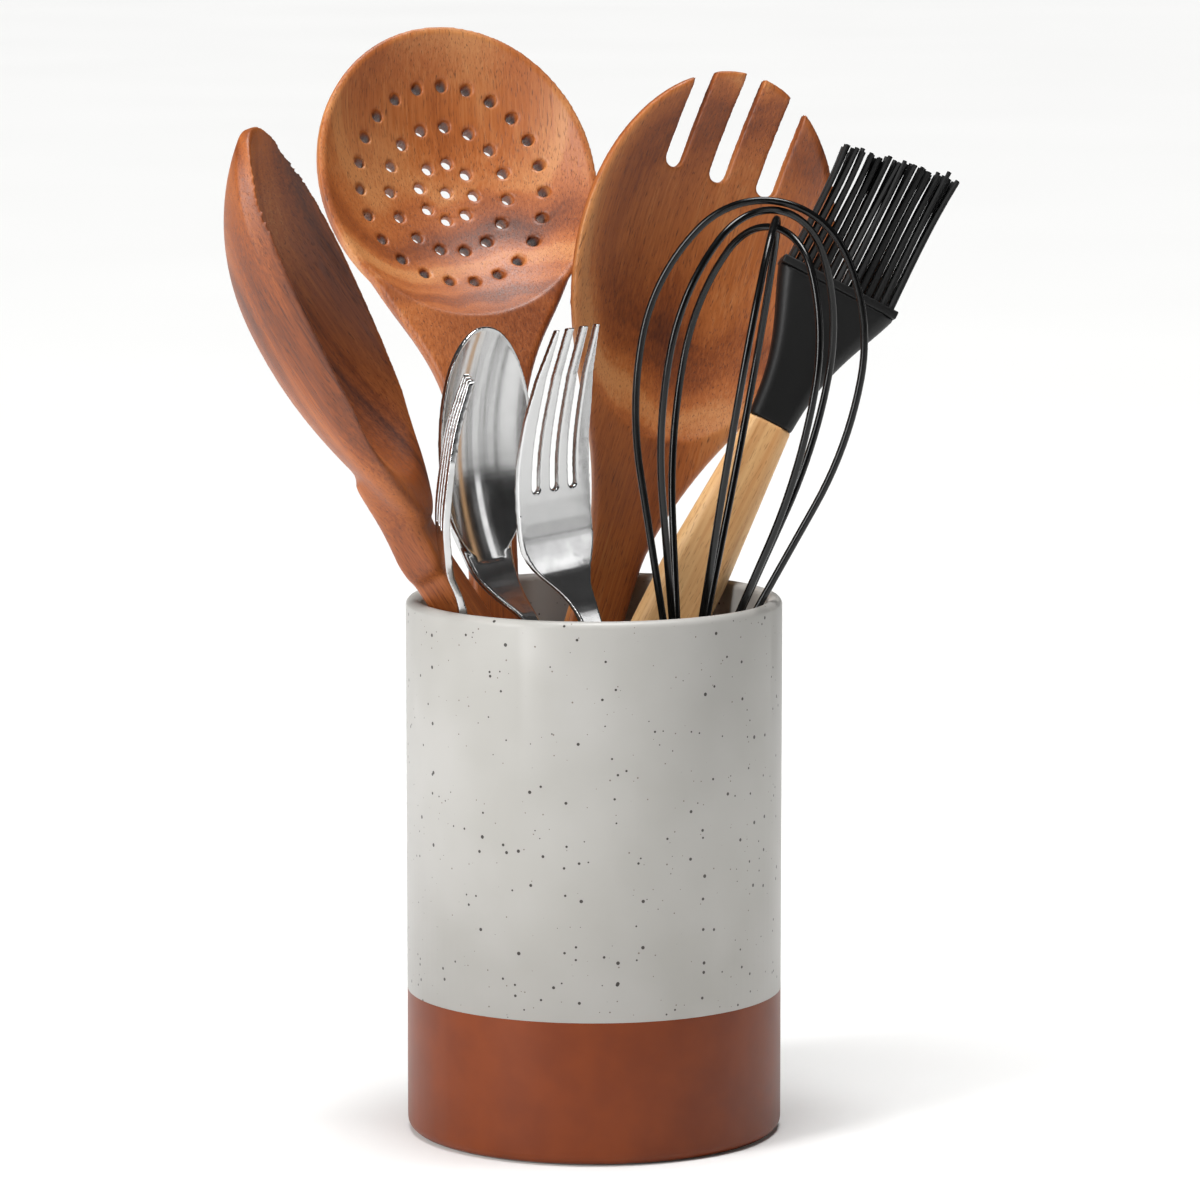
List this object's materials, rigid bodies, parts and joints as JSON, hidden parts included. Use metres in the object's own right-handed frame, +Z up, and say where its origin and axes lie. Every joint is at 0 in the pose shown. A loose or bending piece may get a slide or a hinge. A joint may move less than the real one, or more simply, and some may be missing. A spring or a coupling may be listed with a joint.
{
  "type": "utensil crock",
  "caption": "Round two-tone stoneware crock, open at the top, holding wooden and steel serving utensils, a wire balloon whisk and a silicone basting brush that lift out.",
  "frame": {"origin": "middle of the foot ring's plane, on the surface that the crock stands on", "axes": "+Z up along the crock's axis, -Y towards the viewer of the picture, +X to the viewer's right"},
  "size_m": [0.2441, 0.1883, 0.3691],
  "materials": {
    "speckled_glaze": "satin off-white glaze with fine dark specks",
    "terracotta_glaze": "satin terracotta brown slip",
    "acacia": "oiled",
    "beech": "oiled",
    "stainless": "mirror polished",
    "silicone": "matte",
    "wire_coating": "glossy"
  },
  "bodies": {
    "crock": {"crock_body": "speckled_glaze", "glaze_dip": "terracotta_glaze"},
    "skimmer": {"skimmer": "acacia"},
    "salad_fork": {"salad_fork": "acacia"},
    "wood_spoon": {"wood_spoon": "acacia"},
    "steel_spoon": {"steel_spoon": "stainless"},
    "front_fork": {"front_fork": "stainless"},
    "side_fork": {"side_fork": "stainless"},
    "whisk": {"whisk_handle": "beech", "whisk_collar": "stainless", "whisk_plug": "silicone", "whisk_loop_1": "wire_coating", "whisk_loop_2": "wire_coating", "whisk_loop_3": "wire_coating", "whisk_loop_4": "wire_coating"},
    "brush": {"brush_handle": "beech", "brush_tang": "stainless", "brush_head": "silicone", "brush_bristles": "silicone"}
  },
  "joints": [
    {"name": "skimmer_lift", "type": "slide", "parent": "crock", "child": "skimmer", "axis": [-0.0397, 0.1527, 0.9875], "range_m": [0, 0.2]},
    {"name": "salad_fork_lift", "type": "slide", "parent": "crock", "child": "salad_fork", "axis": [0.2918, 0.1556, 0.9437], "range_m": [0, 0.2]},
    {"name": "wood_spoon_lift", "type": "slide", "parent": "crock", "child": "wood_spoon", "axis": [-0.531, -0.1547, 0.8331], "range_m": [0, 0.2]},
    {"name": "steel_spoon_lift", "type": "slide", "parent": "crock", "child": "steel_spoon", "axis": [-0.2359, 0.1554, 0.9593], "range_m": [0, 0.2]},
    {"name": "front_fork_lift", "type": "slide", "parent": "crock", "child": "front_fork", "axis": [-0.056, -0.0357, 0.9978], "range_m": [0, 0.2]},
    {"name": "side_fork_lift", "type": "slide", "parent": "crock", "child": "side_fork", "axis": [-0.0368, -0.1086, 0.9934], "range_m": [0, 0.2]},
    {"name": "whisk_lift", "type": "slide", "parent": "crock", "child": "whisk", "axis": [0.1751, 0.0314, 0.9841], "range_m": [0, 0.2]},
    {"name": "brush_lift", "type": "slide", "parent": "crock", "child": "brush", "axis": [0.4503, 0.2077, 0.8684], "range_m": [0, 0.2]}
  ]
}
